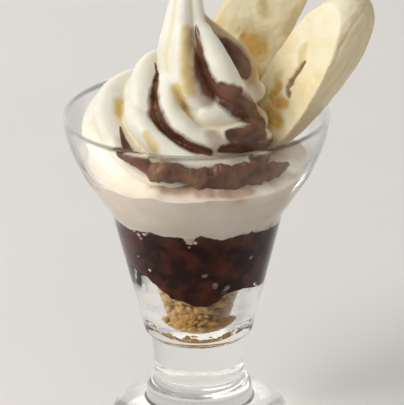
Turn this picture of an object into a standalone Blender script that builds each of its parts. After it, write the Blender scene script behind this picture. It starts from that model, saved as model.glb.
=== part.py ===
"""Ice cream sundae: a short-stemmed glass with layers of crumbs, chocolate and cream, a piped swirl
of soft serve on top, and two pieces of banana that stand in it and lean to +X over the rim.

Metres, +Z up. The origin is the centre of the foot's flat underside, and -Y is the front.
"""

import math

import bmesh
import bpy
from mathutils import Matrix, Vector

MM = 0.001
GAP = 0.3 * MM  # between pieces that touch
SEGMENTS = 36  # sides of every turned piece

# Glass, outside
FOOT_RADIUS = 35.4 * MM
FOOT_EDGE_HEIGHT = 2.4 * MM
FOOT_BASE_RADIUS = 33.6 * MM
DOME_RADIUS = 22.2 * MM
DOME_HEIGHT = 10.4 * MM
RING_RADIUS = 21.2 * MM
RING_HEIGHTS = (11.2 * MM, 13.4 * MM, 17.8 * MM)  # foot, shoulder's start and shoulder's end
RING_TOP_RADIUS = 18.9 * MM
STEM_FOOT_HEIGHT = 21.0 * MM
STEM_RADIUS = 17.7 * MM
STEM_TOP_RADIUS = 19.0 * MM
STEM_TOP_HEIGHT = 38.0 * MM
CONE_FOOT_RADIUS = 21.8 * MM
CONE_FOOT_HEIGHT = 41.4 * MM
NECK_RADIUS = 34.0 * MM
NECK_HEIGHT = 90.5 * MM
RIM_RADIUS = 52.5 * MM
GLASS_HEIGHT = 131.5 * MM
BOWL_PULLS = ((41.0 * MM, 101.0 * MM), (52.0 * MM, 115.0 * MM))  # Bezier handles, neck to rim

# Glass, inside
RIM_WALL = 1.9 * MM
NECK_WALL = 3.8 * MM
CONE_FOOT_WALL = 9.4 * MM
FLOOR_HEIGHT = 37.5 * MM
FLOOR_CURVE_HEIGHT = 51.0 * MM  # where the rounded floor meets the cone's wall

# Layers, as heights at the wall
CRUMB_TOP = 61.5 * MM  # on the axis
# The chocolate's lower edge at the wall: azimuth in degrees and height in mm. It sags at the front.
CRUMB_LEVELS = (
    (10, 60.5), (60, 62.5), (120, 64.0), (160, 65.5), (186, 66.0), (218, 62.9), (231, 60.8),
    (249, 59.6), (270, 58.0), (281, 57.2), (288, 59.0), (298, 62.5), (320, 63.0), (342, 61.7),
)
CRUMB_SHARE = 0.88  # of the cavity's radius
CRUMB_FACE_RADIUS = 13.0 * MM
CRUMB_EDGE_DROP = 2.0 * MM
CRUMB_FOOT_RISE = 1.6 * MM
CRUMB_SIDE_STEPS = 6
CRUMB_LUMPS = ((4, 1.0, 0), (7, 0.8, 70), (12, 0.7, 20))  # waves round the heap, share, shift in degrees
CRUMB_LUMP_SHARE = 0.03
CHOCOLATE_TOP = 89.2 * MM
CHOCOLATE_WAVE = 0.6 * MM
CHOCOLATE_WAVES = ((3, 1.0, 30), (7, 0.8, 100), (11, 0.6, 250))
CREAM_EDGE = 106.6 * MM
CREAM_TOP = 108.0 * MM
CREAM_FLAT_RADIUS = 37.0 * MM
BEND_MARGIN = 1.5 * MM  # between the cream's edges and the bends of the wall that it follows

# Swirl, tip first: azimuth in degrees, X of the coil's axis, coil's radius, height and rope's half thickness
# in mm, and degrees that the rope has turned about itself
SWIRL_STATIONS = (
    (40, -4.0, 0.0, 192.0, 0.8, 40),
    (100, -3.4, 0.2, 180.0, 6.0, 40),
    (180, -3.5, 0.4, 169.7, 8.8, 38),
    (255, -1.6, 1.0, 160.0, 14.2, 48),
    (300, 3.0, 3.5, 146.5, 18.8, 60),
    (350, 5.2, 6.5, 135.5, 16.4, 62),
    (400, 1.5, 14.0, 133.5, 14.0, 95),
    (450, 0.0, 14.0, 136.5, 14.5, 142),
    (540, 0.0, 13.0, 138.5, 16.5, 193),
    (600, -1.0, 15.0, 129.0, 16.0, 223),
    (640, -1.0, 15.0, 125.0, 16.0, 243),
    (720, -2.0, 14.5, 129.0, 15.8, 281),
    (810, -3.0, 18.0, 129.0, 16.0, 331),
    (900, -4.8, 21.8, 126.0, 18.6, 391),
    (990, -4.8, 22.0, 118.0, 15.0, 461),
    (1080, -3.5, 22.0, 118.0, 12.4, 531),
    (1170, -2.5, 24.0, 113.5, 10.0, 601),
)
SWIRL_RINGS = 150
SWIRL_LOBES = 6
SWIRL_LOBE_POINTS = 8
SWIRL_GROOVE = 0.42  # depth of the grooves as a share of the rope's half thickness
SWIRL_LOBE_SHAPE = 0.8  # below 1, the crests are broad and the grooves narrow
SWIRL_SHALLOW_GROOVE = 1  # this groove starts shallow at the tip
SWIRL_SHALLOW_SHARE = 0.2
SWIRL_SHALLOW_SPAN = (0.22, 0.30)  # of the rope's stations, where it gets its full depth
SWIRL_CORE = ((26.0 * MM, 106.0 * MM), (20.0 * MM, 122.0 * MM), (6.0 * MM, 146.0 * MM))
SWIRL_VOXEL = 1.5 * MM
SWIRL_KEEP = 0.14  # share of the remeshed faces kept
SWIRL_BLOCK = 120 * MM  # side of the block over the cream that the swirl is kept to

# Banana pieces: a round body tapered to both ends, with one long flat cut
BANANA_RADIUS = 14.8 * MM
BANANA_CUT = 3.5 * MM  # from the body's axis to the cut, at BANANA_CUT_HEIGHT
BANANA_CUT_HEIGHT = 36.0 * MM
BANANA_LEAST_CUT = 2.0 * MM
BANANA_TAPER = 2.6  # the higher, the blunter the ends
BANANA_MOST_CUT = 0.98  # of the radius, near the ends
BANANA_RINGS = 18
BANANA_SIDE_POINTS = 12
BANANA_CUT_POINTS = 3
# Each piece: name, length, slope of its cut, how far its middle bows away from the cut, foot in mm, degrees
# leaned, azimuth leaned to, and the azimuth that its cut faced before it leaned
BANANAS = (
    ("banana_front", 80.0 * MM, 0.2, 0.0, (17.3, 0.2, 114.2), 37.8, 0.0, 217.6),
    ("banana_back", 92.0 * MM, 0.0, 3.0 * MM, (-4.0, 27.0, 112.5), 32.0, 8.0, 270.0),
)


def clear_scene():
    for obj in list(bpy.data.objects):
        bpy.data.objects.remove(obj)


def material(name, colour, roughness, alpha=1.0):
    made = bpy.data.materials.new(name)
    made.use_nodes = True
    shader = made.node_tree.nodes["Principled BSDF"]
    shader.inputs["Base Color"].default_value = (*colour, 1.0)
    shader.inputs["Roughness"].default_value = roughness
    shader.inputs["Metallic"].default_value = 0.0
    shader.inputs["Alpha"].default_value = alpha
    return made


def add_object(name, mesh_data, finish):
    bmesh.ops.recalc_face_normals(mesh_data, faces=mesh_data.faces)
    mesh = bpy.data.meshes.new(name)
    mesh_data.to_mesh(mesh)
    mesh_data.free()
    mesh.materials.append(finish)
    mesh.shade_smooth()
    mesh.set_sharp_from_angle(angle=math.radians(35))
    obj = bpy.data.objects.new(name, mesh)
    bpy.context.scene.collection.objects.link(obj)
    return obj


def turned(outline_at):
    """A closed body from an outline for each azimuth, which runs from the axis below to the axis above."""
    mesh_data = bmesh.new()
    outlines = [outline_at(math.tau * i / SEGMENTS) for i in range(SEGMENTS)]
    count = len(outlines[0])
    low = mesh_data.verts.new((0, 0, outlines[0][0][1]))
    high = mesh_data.verts.new((0, 0, outlines[0][-1][1]))
    columns = []
    for i, outline in enumerate(outlines):
        azimuth = math.tau * i / SEGMENTS
        ring = [(r * math.cos(azimuth), r * math.sin(azimuth), z) for r, z in outline[1:-1]]
        columns.append([mesh_data.verts.new(point) for point in ring])
    for i, column in enumerate(columns):
        following = columns[(i + 1) % SEGMENTS]
        mesh_data.faces.new((low, following[0], column[0]))
        for k in range(count - 3):
            mesh_data.faces.new((column[k], following[k], following[k + 1], column[k + 1]))
        mesh_data.faces.new((high, column[-1], following[-1]))
    return mesh_data


def bezier(points, t):
    a, b, c, d = (Vector(p) for p in points)
    s = 1 - t
    return a * s**3 + b * 3 * s * s * t + c * 3 * s * t * t + d * t**3


def quarter_ellipse(start, end, steps, level_first):
    """Points after start up to end. The curve leaves start level, or upright, and turns a quarter."""
    points = []
    for i in range(1, steps + 1):
        turn = math.pi / 2 * i / steps
        along, across = math.sin(turn), 1 - math.cos(turn)
        if not level_first:
            along, across = across, along
        points.append((start[0] + (end[0] - start[0]) * along, start[1] + (end[1] - start[1]) * across))
    return points


def outer_wall(cone_steps=2, bowl_steps=8):
    """The outside of the cone and bowl, from the cone's foot to the rim: points with the wall there."""
    points = []
    for i in range(cone_steps):
        share = i / cone_steps
        radius = CONE_FOOT_RADIUS + (NECK_RADIUS - CONE_FOOT_RADIUS) * share
        height = CONE_FOOT_HEIGHT + (NECK_HEIGHT - CONE_FOOT_HEIGHT) * share
        points.append((radius, height, CONE_FOOT_WALL + (NECK_WALL - CONE_FOOT_WALL) * share))
    bowl = ((NECK_RADIUS, NECK_HEIGHT), *BOWL_PULLS, (RIM_RADIUS, GLASS_HEIGHT - RIM_WALL / 2))
    for i in range(bowl_steps + 1):
        share = i / bowl_steps
        radius, height = bezier(bowl, share)
        points.append((radius, height, NECK_WALL + (RIM_WALL - NECK_WALL) * share**0.5))
    return points


def inner_wall():
    """The cavity's wall from its rounded floor to the rim: the outer wall moved in along its normal."""
    outer = outer_wall()
    points = []
    for i, (radius, height, wall) in enumerate(outer):
        before, after = outer[max(i - 1, 0)], outer[min(i + 1, len(outer) - 1)]
        along = Vector((after[0] - before[0], after[1] - before[1])).normalized()
        points.append((radius - along.y * wall, height + along.x * wall))
    top = GLASS_HEIGHT - RIM_WALL / 2
    points = [p for p in points if FLOOR_CURVE_HEIGHT < p[1] < top]
    slope = (points[1][0] - points[0][0]) / (points[1][1] - points[0][1])
    floor_radius = points[0][0] - slope * (points[0][1] - FLOOR_CURVE_HEIGHT)
    floor = quarter_ellipse((0, FLOOR_HEIGHT), (floor_radius, FLOOR_CURVE_HEIGHT), 5, True)
    return [(0, FLOOR_HEIGHT), *floor, *points, (RIM_RADIUS - RIM_WALL, top)]


def cavity_radius(height, wall=inner_wall()):
    for (r0, z0), (r1, z1) in zip(wall, wall[1:]):
        if z0 <= height <= z1:
            return r0 + (r1 - r0) * (height - z0) / (z1 - z0)
    raise ValueError("no wall at that height")


def glass_outline():
    edge = (FOOT_RADIUS, FOOT_EDGE_HEIGHT)
    dome = quarter_ellipse(edge, (DOME_RADIUS, DOME_HEIGHT), 5, False)
    ring_foot, ring_shoulder, ring_top = RING_HEIGHTS
    ring = [(RING_RADIUS, ring_foot), (RING_RADIUS, ring_shoulder)]
    ring += quarter_ellipse(ring[-1], (RING_TOP_RADIUS, ring_top), 3, False)
    ring += quarter_ellipse(ring[-1], (STEM_RADIUS, STEM_FOOT_HEIGHT), 3, True)
    shoulder = ((STEM_TOP_RADIUS, STEM_TOP_HEIGHT), (STEM_TOP_RADIUS + 0.8 * MM, STEM_TOP_HEIGHT + 1.3 * MM))
    curve = quarter_ellipse(shoulder[1], (CONE_FOOT_RADIUS, CONE_FOOT_HEIGHT), 3, True)
    outside = [(r, z) for r, z, wall in outer_wall()][1:]
    lip = []
    for i in range(1, 4):
        turn = math.pi * i / 4
        across = RIM_RADIUS - RIM_WALL / 2 * (1 - math.cos(turn))
        lip.append((across, GLASS_HEIGHT - RIM_WALL / 2 * (1 - math.sin(turn))))
    return [
        (0, 0),
        (FOOT_BASE_RADIUS, 0),
        (FOOT_RADIUS - 0.5 * MM, 0.8 * MM),
        edge,
        *dome,
        *ring,
        *shoulder,
        *curve,
        *outside,
        *lip,
        *inner_wall()[::-1],
    ]


def ripple(azimuth, size, waves):
    """An uneven height: a few waves round the axis, given as (count, share, shift in degrees)."""
    return size * sum(s * math.sin(n * azimuth + math.radians(shift)) for n, s, shift in waves)


def crumb_level(azimuth):
    """The height of the chocolate's lower edge at the wall, eased between the given heights."""
    place = math.degrees(azimuth) % 360
    first, last = CRUMB_LEVELS[0], CRUMB_LEVELS[-1]
    levels = [(last[0] - 360, last[1]), *CRUMB_LEVELS, (first[0] + 360, first[1])]
    for (a0, z0), (a1, z1) in zip(levels, levels[1:]):
        if a0 <= place <= a1:
            share = (place - a0) / (a1 - a0)
            return (z0 + (z1 - z0) * share * share * (3 - 2 * share)) * MM
    raise ValueError("no level at that azimuth")


def chocolate_level(azimuth):
    return CHOCOLATE_TOP + ripple(azimuth, CHOCOLATE_WAVE, CHOCOLATE_WAVES)


def wall_stretch(low, between, high):
    """Points up the cavity's wall, a gap inside it."""
    return [(cavity_radius(z) - GAP, z) for z in (low, *between, high)]


def crumb_face(azimuth):
    """The face between the crumbs and the chocolate, from the axis outwards."""
    rise = crumb_level(azimuth) - CRUMB_TOP
    return [(CRUMB_FACE_RADIUS * share, CRUMB_TOP + rise * share) for share in (0, 0.35, 0.7, 1)]


def crumb_outline(azimuth):
    low = FLOOR_HEIGHT + GAP
    foot = low + CRUMB_FOOT_RISE
    high = crumb_level(azimuth) - CRUMB_EDGE_DROP
    lump = 1 + ripple(azimuth, CRUMB_LUMP_SHARE, CRUMB_LUMPS)
    side = []
    for i in range(CRUMB_SIDE_STEPS):
        height = foot + (high - foot) * i / (CRUMB_SIDE_STEPS - 1)
        sway = 1 + CRUMB_LUMP_SHARE * math.sin(5 * i + 3 * azimuth)
        side.append((cavity_radius(height) * CRUMB_SHARE * lump * sway, height))
    top = [(r, z - GAP) for r, z in crumb_face(azimuth)]
    return [(0, low), (side[0][0] / 2, low + CRUMB_FOOT_RISE / 3), *side, *top[::-1]]


def chocolate_outline(azimuth):
    low, high = crumb_level(azimuth), chocolate_level(azimuth)
    over = [(cavity_radius(high) * s, CHOCOLATE_TOP + (high - CHOCOLATE_TOP) * s) for s in (0.8, 0.4)]
    top = [*((r, z - GAP) for r, z in over), (0, CHOCOLATE_TOP - GAP)]
    between = [low + (high - low) * share for share in (0.25, 0.5, 0.75)]
    return [*crumb_face(azimuth), *wall_stretch(low, between, high - GAP), *top]


def cream_outline(azimuth):
    low = chocolate_level(azimuth)
    under = [(cavity_radius(low) * s, CHOCOLATE_TOP + (low - CHOCOLATE_TOP) * s) for s in (0.4, 0.8)]
    top = [(CREAM_FLAT_RADIUS, CREAM_TOP), (CREAM_FLAT_RADIUS / 2, CREAM_TOP)]
    bends = [z for r, z in inner_wall() if CHOCOLATE_TOP + BEND_MARGIN < z < CREAM_EDGE - BEND_MARGIN]
    return [(0, CHOCOLATE_TOP), *under, *wall_stretch(low, bends, CREAM_EDGE), *top, (0, CREAM_TOP)]


def smooth_between(stations, t):
    """Catmull-Rom through the rows of a table, t from 0 to 1."""
    place = t * (len(stations) - 1)
    i = min(int(place), len(stations) - 2)
    f = place - i
    rows = [stations[min(max(i + k, 0), len(stations) - 1)] for k in (-1, 0, 1, 2)]
    result = []
    for a, b, c, d in zip(*rows):
        result.append(b + 0.5 * f * (c - a + f * (2 * a - 5 * b + 4 * c - d + f * (3 * (b - c) + d - a))))
    return result


def swirl_path():
    """The rope's centre line from the tip down: share of the way, place, half thickness and roll."""
    path = []
    for i in range(SWIRL_RINGS):
        share = i / (SWIRL_RINGS - 1)
        azimuth, axis_x, radius, height, half, roll = smooth_between(SWIRL_STATIONS, share)
        turn = math.radians(azimuth)
        centre = Vector((axis_x + radius * math.cos(turn), radius * math.sin(turn), height)) * MM
        path.append((share, centre, half * MM, math.radians(roll)))
    return path


def groove_depth(groove, share):
    if groove != SWIRL_SHALLOW_GROOVE:
        return SWIRL_GROOVE
    start, end = SWIRL_SHALLOW_SPAN
    full = min(max((share - start) / (end - start), 0), 1)
    return SWIRL_GROOVE * (SWIRL_SHALLOW_SHARE + (1 - SWIRL_SHALLOW_SHARE) * full)


def rope_rings(path):
    """Star-shaped rings along the path."""
    across = Vector((1, 0, 0))
    rings = []
    for i, (share, centre, half, roll) in enumerate(path):
        before, after = path[max(i - 1, 0)][1], path[min(i + 1, len(path) - 1)][1]
        along = (after - before).normalized()
        across = (across - along * across.dot(along)).normalized()
        side = along.cross(across)
        ring = []
        for k in range(SWIRL_LOBES * SWIRL_LOBE_POINTS):
            turn = math.tau * k / (SWIRL_LOBES * SWIRL_LOBE_POINTS)
            lobe = abs(math.cos(SWIRL_LOBES * turn / 2)) ** SWIRL_LOBE_SHAPE
            reach = half * (1 - groove_depth(k // SWIRL_LOBE_POINTS, share) * (1 - lobe))
            ring.append(centre + reach * (across * math.cos(turn + roll) + side * math.sin(turn + roll)))
        rings.append(ring)
    return rings


def skinned(mesh_data, rings):
    """Adds a closed skin over rings of points, with a face over each end."""
    loops = [[mesh_data.verts.new(point) for point in ring] for ring in rings]
    for loop, following in zip(loops, loops[1:]):
        for k in range(len(loop)):
            j = (k + 1) % len(loop)
            mesh_data.faces.new((loop[k], loop[j], following[j], following[k]))
    mesh_data.faces.new(loops[0][::-1])
    mesh_data.faces.new(loops[-1])


def cutter(name, mesh_data, finish):
    obj = add_object(name, mesh_data, finish)
    obj.hide_render = True
    obj.display_type = "WIRE"
    return obj


def boolean(obj, other, operation):
    modifier = obj.modifiers.new(other.name, "BOOLEAN")
    modifier.operation = operation
    modifier.object = other
    modifier.solver = "EXACT"


def round_rings(outline, sides=24):
    """Rings of points round the axis for a list of radii and heights."""
    turns = [math.tau * i / sides for i in range(sides)]
    return [[Vector((r * math.cos(a), r * math.sin(a), z)) for a in turns] for r, z in outline]


def build_swirl(finish):
    mesh_data = bmesh.new()
    skinned(mesh_data, rope_rings(swirl_path()))
    skinned(mesh_data, round_rings(SWIRL_CORE))
    swirl = add_object("soft_serve", mesh_data, finish)
    remesh = swirl.modifiers.new("one_skin", "REMESH")
    remesh.mode = "VOXEL"
    remesh.voxel_size = SWIRL_VOXEL
    remesh.use_smooth_shade = True
    fewer = swirl.modifiers.new("fewer_faces", "DECIMATE")
    fewer.ratio = SWIRL_KEEP
    middle = CREAM_TOP + GAP + SWIRL_BLOCK / 2
    block = bmesh.new()
    bmesh.ops.create_cube(block, size=SWIRL_BLOCK, matrix=Matrix.Translation((0, 0, middle)))
    boolean(swirl, cutter("above_cream", block, finish), "INTERSECT")
    return swirl


def banana_rings(length, slope, most_bow, grow=0.0):
    """Rings up a piece along Z: round at the back, flat along its cut, which faces -Y."""
    rings = []
    for i in range(BANANA_RINGS):
        t = 0.5 - 0.5 * math.cos(math.pi * (i + 0.25) / (BANANA_RINGS - 0.5))
        radius = BANANA_RADIUS * (1 - abs(2 * t - 1) ** BANANA_TAPER) ** 0.5 + grow
        bow = most_bow * (1 - (2 * t - 1) ** 2)
        height = (length + 2 * grow) * t - grow
        depth = max(BANANA_CUT + slope * (height - BANANA_CUT_HEIGHT), BANANA_LEAST_CUT) + grow
        crease = math.acos(min(depth / radius, BANANA_MOST_CUT))
        half_width, cut = radius * math.sin(crease), -radius * math.cos(crease)
        ring = []
        for k in range(BANANA_SIDE_POINTS + 1):
            turn = crease + (math.tau - 2 * crease) * k / BANANA_SIDE_POINTS
            ring.append(Vector((radius * math.sin(turn), -radius * math.cos(turn) + bow, height)))
        for k in range(1, BANANA_CUT_POINTS + 1):
            share = 2 * k / (BANANA_CUT_POINTS + 1) - 1
            ring.append(Vector((half_width * share, cut + bow, height)))
        rings.append(ring)
    return rings


def banana_place(foot, lean, leaned_to, face_to):
    """Stands a half on its foot, turns its face to an azimuth and leans it over."""
    lean_axis = Vector((-math.sin(math.radians(leaned_to)), math.cos(math.radians(leaned_to)), 0))
    turn = Matrix.Rotation(math.radians(face_to + 90), 4, "Z")
    return Matrix.Translation(Vector(foot) * MM) @ Matrix.Rotation(math.radians(lean), 4, lean_axis) @ turn


def build_banana(name, length, slope, bow, foot, lean, leaned_to, face_to, finish, swirl):
    place = banana_place(foot, lean, leaned_to, face_to)
    mesh_data = bmesh.new()
    skinned(mesh_data, banana_rings(length, slope, bow))
    banana = add_object(name, mesh_data, finish)
    banana.matrix_world = place
    pocket_data = bmesh.new()
    skinned(pocket_data, banana_rings(length, slope, bow, GAP))
    pocket = cutter(name + "_pocket", pocket_data, finish)
    pocket.matrix_world = place
    boolean(swirl, pocket, "DIFFERENCE")
    return banana


def main():
    clear_scene()
    glass = material("glass", (0.95, 0.97, 0.97), 0.02, 0.35)
    crumbs = material("crumbs", (0.66, 0.44, 0.16), 0.8)
    chocolate = material("chocolate", (0.055, 0.022, 0.016), 0.3)
    cream = material("cream", (0.86, 0.82, 0.74), 0.45)
    soft_serve = material("soft_serve", (0.93, 0.90, 0.76), 0.4)
    banana = material("banana", (0.88, 0.76, 0.48), 0.5)
    add_object("glass", turned(lambda azimuth: glass_outline()), glass)
    add_object("crumbs", turned(crumb_outline), crumbs)
    add_object("chocolate", turned(chocolate_outline), chocolate)
    add_object("cream", turned(cream_outline), cream)
    swirl = build_swirl(soft_serve)
    for name, length, slope, bow, foot, lean, leaned_to, face_to in BANANAS:
        build_banana(name, length, slope, bow, foot, lean, leaned_to, face_to, banana, swirl)


main()
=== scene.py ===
import math
import random

import bmesh
import bpy
from mathutils import Matrix, Quaternion, Vector, noise
from mathutils.kdtree import KDTree


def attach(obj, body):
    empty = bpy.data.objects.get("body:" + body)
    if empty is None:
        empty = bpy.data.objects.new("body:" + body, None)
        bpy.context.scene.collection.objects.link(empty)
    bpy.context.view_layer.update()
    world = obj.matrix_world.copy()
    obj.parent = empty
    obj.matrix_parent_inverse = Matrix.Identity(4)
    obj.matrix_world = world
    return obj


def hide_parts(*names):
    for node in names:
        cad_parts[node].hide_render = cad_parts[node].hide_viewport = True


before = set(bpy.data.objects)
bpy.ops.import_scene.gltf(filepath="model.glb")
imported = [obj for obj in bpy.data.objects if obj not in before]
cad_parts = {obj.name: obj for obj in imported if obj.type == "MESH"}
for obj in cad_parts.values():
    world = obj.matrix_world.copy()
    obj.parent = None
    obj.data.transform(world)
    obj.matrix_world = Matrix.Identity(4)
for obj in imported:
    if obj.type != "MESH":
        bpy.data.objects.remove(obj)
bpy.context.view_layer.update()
mm = 0.001
print("frame loaded:", ", ".join(sorted(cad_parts)))


def deselectAll():
    if bpy.context.mode != "OBJECT":
        bpy.ops.object.mode_set(mode="OBJECT")
    bpy.ops.object.select_all(action="DESELECT")


def pick(obj):
    deselectAll()
    obj.select_set(True)
    bpy.context.view_layer.objects.active = obj
    return obj


def takeNew(name):
    obj = bpy.context.object
    obj.name = obj.data.name = name
    return obj


def fixPlace(obj):
    pick(obj)
    bpy.ops.object.transform_apply(location=True, rotation=True, scale=True)


def addModifier(obj, kind, **settings):
    modifier = obj.modifiers.new(kind.lower(), kind)
    for key, value in settings.items():
        setattr(modifier, key, value)
    return modifier


def applyModifiers(obj):
    pick(obj)
    for modifier in list(obj.modifiers):
        bpy.ops.object.modifier_apply(modifier=modifier.name)


def editAll(obj):
    pick(obj)
    bpy.ops.object.mode_set(mode="EDIT")
    bpy.ops.mesh.select_mode(type="VERT")
    bpy.ops.mesh.select_all(action="SELECT")


def tidyMesh(obj, merge=0.002 * mm):
    editAll(obj)
    bpy.ops.mesh.remove_doubles(threshold=merge)
    bpy.ops.mesh.normals_make_consistent(inside=False)
    bpy.ops.object.mode_set(mode="OBJECT")


def fillEnds(obj):
    editAll(obj)
    bpy.ops.mesh.select_all(action="DESELECT")
    bpy.ops.mesh.select_non_manifold()
    bpy.ops.mesh.fill_holes(sides=0)
    bpy.ops.mesh.select_all(action="SELECT")
    bpy.ops.mesh.normals_make_consistent(inside=False)
    bpy.ops.object.mode_set(mode="OBJECT")


def smoothAll(obj):
    pick(obj)
    bpy.ops.object.shade_smooth()


def joinAll(pieces, name):
    deselectAll()
    for piece in pieces:
        piece.select_set(True)
    bpy.context.view_layer.objects.active = pieces[0]
    bpy.ops.object.join()
    return takeNew(name)


def clamp(value):
    return min(max(value, 0), 1)


def moveVerts(obj, placeOf):
    for vert in obj.data.vertices:
        vert.co = placeOf(vert)
    obj.data.update()


def writeAttribute(obj, name, values, kind="FLOAT"):
    made = obj.data.attributes.new(name, kind, "POINT")
    if kind == "FLOAT_VECTOR":
        made.data.foreach_set("vector", [x for value in values for x in value])
    else:
        made.data.foreach_set("value", values)


# what is measured takes a place in mm
def measureAttribute(obj, name, measure):
    writeAttribute(obj, name, [measure(vert.co / mm) for vert in obj.data.vertices])


# an outline is drawn point by point from one corner of a plane, spun, then pulled out of round row by row
def spinOutline(name, outlineAt, steps):
    deselectAll()
    outline = outlineAt(0)
    bpy.ops.mesh.primitive_plane_add(size=mm)
    obj = takeNew(name)
    bpy.ops.object.mode_set(mode="EDIT")
    bpy.ops.mesh.select_mode(type="VERT")
    edit = bmesh.from_edit_mesh(obj.data)
    edit.verts.ensure_lookup_table()
    for vert in edit.verts:
        vert.select_set(vert.index > 0)
    edit.select_flush_mode()
    bmesh.update_edit_mesh(obj.data)
    bpy.ops.mesh.delete(type="VERT")
    edit = bmesh.from_edit_mesh(obj.data)
    for vert in edit.verts:
        vert.co = (outline[0][0], 0, outline[0][1])
        vert.select_set(True)
    bmesh.update_edit_mesh(obj.data)
    for before, after in zip(outline, outline[1:]):
        bpy.ops.mesh.extrude_region_move(
            TRANSFORM_OT_translate={"value": (after[0] - before[0], 0, after[1] - before[1])}
        )
    edit = bmesh.from_edit_mesh(obj.data)
    rowOf = edit.verts.layers.int.new("row")
    edit.verts.ensure_lookup_table()
    for vert in edit.verts:
        vert[rowOf] = vert.index
    bmesh.update_edit_mesh(obj.data)
    bpy.ops.mesh.select_all(action="SELECT")
    bpy.ops.mesh.spin(steps=steps, angle=math.tau, center=(0, 0, 0), axis=(0, 0, 1))
    tidyMesh(obj)
    rows = obj.data.attributes["row"].data
    outlines = {}
    for vert, row in zip(obj.data.vertices, rows):
        azimuth = math.atan2(vert.co.y, vert.co.x) % math.tau
        step = round(azimuth / math.tau * steps) % steps
        if step not in outlines:
            outlines[step] = outlineAt(math.tau * step / steps)
        radius, height = outlines[step][row.value]
        vert.co = (radius * math.cos(azimuth), radius * math.sin(azimuth), height)
    smoothAll(obj)
    return obj


def quarterEllipse(start, end, steps, levelFirst):
    points = []
    for i in range(1, steps + 1):
        turn = math.pi / 2 * i / steps
        along, across = math.sin(turn), 1 - math.cos(turn)
        if not levelFirst:
            along, across = across, along
        points.append((start[0] + (end[0] - start[0]) * along, start[1] + (end[1] - start[1]) * across))
    return points


def bezier(points, t):
    a, b, c, d = (Vector(point) for point in points)
    s = 1 - t
    return a * s**3 + b * 3 * s * s * t + c * 3 * s * t * t + d * t**3


def smoothBetween(stations, t):
    place = t * (len(stations) - 1)
    i = min(int(place), len(stations) - 2)
    f = place - i
    rows = [stations[min(max(i + k, 0), len(stations) - 1)] for k in (-1, 0, 1, 2)]
    result = []
    for a, b, c, d in zip(*rows):
        result.append(b + 0.5 * f * (c - a + f * (2 * a - 5 * b + 4 * c - d + f * (3 * (b - c) + d - a))))
    return result


# heights given at a few azimuths, joined smoothly all the way round
def roundHeight(keys, azimuth):
    degrees = math.degrees(azimuth) % 360
    before = max((k for k in keys if k[0] <= degrees), default=(keys[-1][0] - 360, keys[-1][1]))
    after = min((k for k in keys if k[0] > degrees), default=(keys[0][0] + 360, keys[0][1]))
    share = (degrees - before[0]) / (after[0] - before[0])
    return before[1] + (after[1] - before[1]) * share * share * (3 - 2 * share)


def lump(place, size, seed):
    roughness, finer, octaves = 0.9, 2.0, 3
    return noise.fractal(Vector(place) / size + Vector((seed, seed * 1.7, -seed)), roughness, finer, octaves)


def randomTurn(pull):
    return Quaternion([pull.gauss(0, 1) for _ in range(4)]).normalized()


def roundPoint(radius, azimuth, height):
    return Vector((radius * math.cos(azimuth), radius * math.sin(azimuth), height))


def addNode(tree, kind, inputs=None, **settings):
    made = tree.nodes.new("ShaderNode" + kind)
    for key, value in settings.items():
        setattr(made, key, value)
    for key, value in (inputs or {}).items():
        if isinstance(value, bpy.types.NodeSocket):
            tree.links.new(value, made.inputs[key])
        else:
            made.inputs[key].default_value = value
    return made


def newMaterial(name, shaderInputs):
    material = bpy.data.materials.new(name)
    material.use_nodes = True
    shader = material.node_tree.nodes["Principled BSDF"]
    for key, value in shaderInputs.items():
        shader.inputs[key].default_value = value
    return material, material.node_tree, shader


def finishPiece(obj, material, slotName, *nodes):
    obj.data.materials.clear()
    obj.data.materials.append(material)
    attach(obj, "root")
    if nodes:
        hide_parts(*nodes)


glassShape = {
    "steps": 192,
    "foot": ((33.6, 0.0), (34.9, 0.8), (35.4, 2.4)),
    "dome": (22.2, 10.4),
    "ring": ((21.2, 11.2), (21.2, 13.4), (18.9, 17.8), (17.7, 21.0)),
    "stemTop": (19.0, 38.0),
    "shoulder": (19.8, 39.3),
    "coneFoot": (21.8, 41.4),
    "neck": (34.0, 90.5),
    "bowlPulls": ((41.0, 101.0), (52.0, 115.0)),
    "rimRadius": 52.5,
    "height": 131.5,
    "rimWall": 1.9,
    "neckWall": 3.8,
    "coneFootWall": 9.4,
    "floor": 37.5,
    "floorCurve": 51.0,
    "softEdge": 0.35 * mm,
    "softAngle": 22.0,
    "lipGap": 0.4,  # between the inner wall's last point and the lip
    # how many pieces each stretch of the outline is drawn in
    "coneSteps": 12,
    "bowlSteps": 36,
    "floorSteps": 16,
    "domeSteps": 20,
    "ringSteps": 10,
    "shoulderSteps": 8,
    "lipSteps": 8,
    "clearLip": (129.8, 0.3),  # height it starts at, and its alpha
    "clearFoot": (11.0, 22.0, 8.0, 0.4),  # top, radius where it starts, width it grows over, and its share
    "bowlFade": (104.0, 6.0),  # height the bowl starts at, and height it blends over
}


def outerWall():
    g = glassShape
    points = []
    foot, neck = Vector(g["coneFoot"]), Vector(g["neck"])
    for i in range(g["coneSteps"]):
        share = i / g["coneSteps"]
        wall = g["coneFootWall"] + (g["neckWall"] - g["coneFootWall"]) * share
        points.append((*foot.lerp(neck, share), wall))
    bowl = (g["neck"], *g["bowlPulls"], (g["rimRadius"], g["height"] - g["rimWall"] / 2))
    for i in range(g["bowlSteps"] + 1):
        share = i / g["bowlSteps"]
        wall = g["neckWall"] + (g["rimWall"] - g["neckWall"]) * share**0.5
        points.append((*bezier(bowl, share), wall))
    return points


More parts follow.
